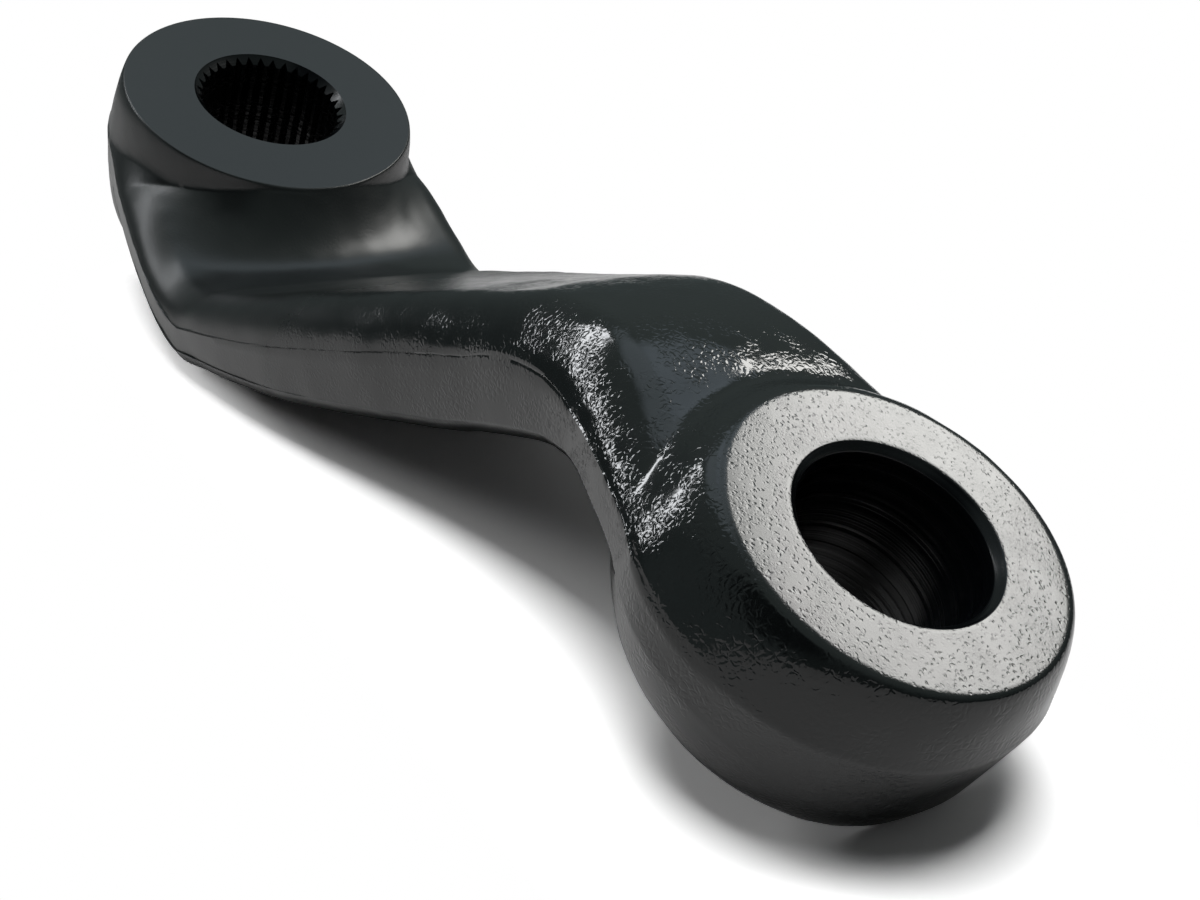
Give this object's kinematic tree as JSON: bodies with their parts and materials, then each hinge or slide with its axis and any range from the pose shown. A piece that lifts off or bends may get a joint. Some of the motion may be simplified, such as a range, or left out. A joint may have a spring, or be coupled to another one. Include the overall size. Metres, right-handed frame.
{
  "type": "pitman arm",
  "caption": "Drop pitman arm: a black forged steel steering lever with an S bend, a serrated shaft eye at its low end and a tapered stud eye at its high end.",
  "frame": {"origin": "centre of the serrated eye at its machined upper face", "axes": "+Z along the serrated eye's axis, out of its upper face; +X along the arm towards the stud eye; +Y completes a right-handed frame"},
  "size_m": [0.2138, 0.0642, 0.0975],
  "materials": {
    "black_paint": "gloss black paint over a rough forged skin"
  },
  "bodies": {
    "root": {"pitman_arm": "black_paint"}
  },
  "joints": []
}
